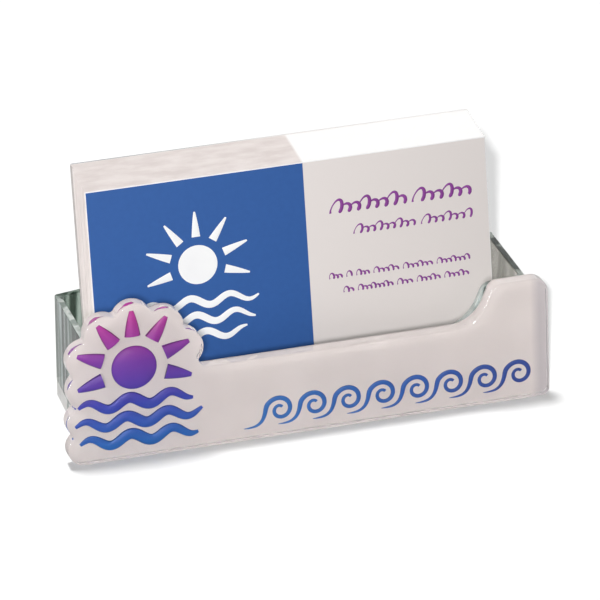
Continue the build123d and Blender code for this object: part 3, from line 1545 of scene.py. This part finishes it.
@dataclass
class Studio:
    """White sweep, soft lamps and the camera of the photograph."""

    target: Direction = (0.0, -2.7, 25.0)
    azimuth: float = 16.504
    elevation: float = 29.703
    distance: float = 1182.7
    scale: float = 4.656
    shift: Point = (-0.774, 0.387)
    photo_side: float = 600.0
    sensor: float = 36.0
    floor_side: float = 12.0
    floor_drop: float = 0.05
    ambient_left: float = 0.5
    ambient_right: float = 0.08
    ambient_overhead: float = 0.05
    overhead: float = 0.05
    ambient_across: Point = (-1.0, 0.3)
    ambient_rise: Point = (0.15, 0.8)
    sweep_rise: Point = (0.25, 0.75)
    floor_albedo: float = 0.43
    floor_through: float = 0.42
    floor_bounce: float = 0.06
    floor_shine: float = 0.25
    shine_ends: Point = (-16.0, 4.0)
    lamps: tuple[Lamp, ...] = (
        Lamp("front_lamp", (0.3, 1.0, -0.56), strength=0.85, spread=12.0),
        Lamp("left_lamp", (1.0, 0.15, -0.25), strength=0.42, spread=12.0),
        Lamp("rear_lamp", (0.06, -0.75, -0.75), strength=0.55, spread=6.0),
        Lamp("front_shadow_lamp", (0.07, -0.21, -1.0), strength=1.55, spread=10.0, on_floor=True),
        Lamp("right_shadow_lamp", (0.605, 1.6, -1.0), strength=1.7, spread=1.4, on_floor=True),
    )

    def camera(self) -> None:
        """Sets the camera at the photograph's place."""
        a, e = math.radians(self.azimuth), math.radians(self.elevation)
        ahead = Vector((math.sin(a) * math.cos(e), math.cos(a) * math.cos(e), -math.sin(e)))
        right = Vector((math.cos(a), -math.sin(a), 0.0))
        up = right.cross(ahead)
        data = bpy.data.cameras.new("camera")
        data.sensor_width = self.sensor
        data.lens = self.scale * self.distance / self.photo_side * self.sensor
        place = Vector(self.target) - ahead * self.distance - right * self.shift[0] - up * self.shift[1]
        turn = Matrix((right, up, -ahead)).transposed()
        camera = bpy.data.objects.new("camera", data)
        camera.matrix_world = Matrix.Translation(place * MM) @ turn.to_4x4()
        bpy.context.scene.collection.objects.link(camera)
        bpy.context.scene.camera = camera

    def world(self) -> None:
        """Makes the surroundings: white at the horizon, dim overhead, with ambient light for matt faces."""
        world = bpy.data.worlds.new("studio")
        world.use_nodes = True
        tree = world.node_tree
        tree.nodes.clear()
        rays = add(tree, "ShaderNodeLightPath").outputs
        seen = rays["Is Camera Ray"]
        for ray in ("Is Glossy Ray", "Is Transmission Ray"):
            seen = add(tree, "ShaderNodeMath", {0: seen, 1: rays[ray]}, operation="MAXIMUM").outputs[0]
        place = add(tree, "ShaderNodeTexCoord").outputs["Generated"]
        way = add(tree, "ShaderNodeSeparateXYZ", {0: place}).outputs
        levels = []
        for along, (start, end), low, high in (
            (way["X"], self.ambient_across, self.ambient_left, self.ambient_right),
            (way["Z"], self.ambient_rise, 1.0, self.ambient_overhead),
            (way["Z"], self.sweep_rise, 1.0, self.overhead),
        ):
            reach = {"Value": along, "From Min": start, "From Max": end, "To Min": low, "To Max": high}
            levels.append(add(tree, "ShaderNodeMapRange", reach).outputs[0])
        across, rise, level = levels
        soft = add(tree, "ShaderNodeMath", {0: across, 1: rise}, operation="MULTIPLY").outputs[0]
        lights = []
        for strength in (soft, level):
            white = {"Color": (1.0, 1.0, 1.0, 1.0), "Strength": strength}
            lights.append(add(tree, "ShaderNodeBackground", white).outputs[0])
        mixed = add(tree, "ShaderNodeMixShader", {0: seen, 1: lights[0], 2: lights[1]})
        output = add(tree, "ShaderNodeOutputWorld", {"Surface": mixed.outputs[0]})
        output.is_active_output = True
        bpy.context.scene.world = world

    def floor(self) -> bpy.types.Object:
        """Lays the white floor, which keeps the holder's shadow.

        Returns:
            The floor.
        """
        bm = bmesh.new()
        bmesh.ops.create_grid(bm, x_segments=2, y_segments=2, size=self.floor_side / 2)
        bmesh.ops.translate(bm, vec=(0.0, 0.0, -self.floor_drop * MM), verts=bm.verts)
        mesh = bpy.data.meshes.new("studio_floor")
        bm.to_mesh(mesh)
        bm.free()
        material = bpy.data.materials.new("white_paper_sweep")
        material.use_nodes = True
        tree = material.node_tree
        tree.nodes.clear()
        rays = add(tree, "ShaderNodeLightPath").outputs
        # Glossy rays see the floor dim in front and brighter behind: a painted gradient of light for the
        # reflections
        place = add(tree, "ShaderNodeTexCoord").outputs["Object"]
        depth = add(tree, "ShaderNodeSeparateXYZ", {0: place}).outputs["Y"]
        start, end = self.shine_ends
        reach = {"Value": depth, "From Min": start * MM, "From Max": end * MM}
        reach |= {"To Min": self.floor_bounce, "To Max": self.floor_shine}
        shine = add(tree, "ShaderNodeMapRange", reach)
        tone = self.floor_bounce
        for ray, level in (
            ("Is Glossy Ray", shine.outputs[0]),
            ("Is Transmission Ray", self.floor_through),
            ("Is Camera Ray", self.floor_albedo),
        ):
            chosen = {"Value": rays[ray], "To Min": tone, "To Max": level}
            tone = add(tree, "ShaderNodeMapRange", chosen).outputs[0]
        paper = add(tree, "ShaderNodeBsdfDiffuse", {"Color": tone})
        add(tree, "ShaderNodeOutputMaterial", {"Surface": paper.outputs[0]})
        mesh.materials.append(material)
        floor = bpy.data.objects.new("studio_floor", mesh)
        bpy.context.scene.collection.objects.link(floor)
        return floor

    def build(self) -> None:
        """Sets up the whole studio."""
        bpy.context.scene.view_settings.view_transform = "Standard"
        self.camera()
        self.world()
        floor = self.floor()
        for lamp in self.lamps:
            lamp.build(floor)
        log.info("studio: camera, floor and lamps set")


def main() -> None:
    """Builds the holder, its cards and the studio in order."""
    logging.basicConfig(level=logging.INFO, format="%(name)s %(message)s")
    Tray().build()
    Plate().build()
    CardStack().build()
    Studio().build()


if __name__ == "__main__":
    main()
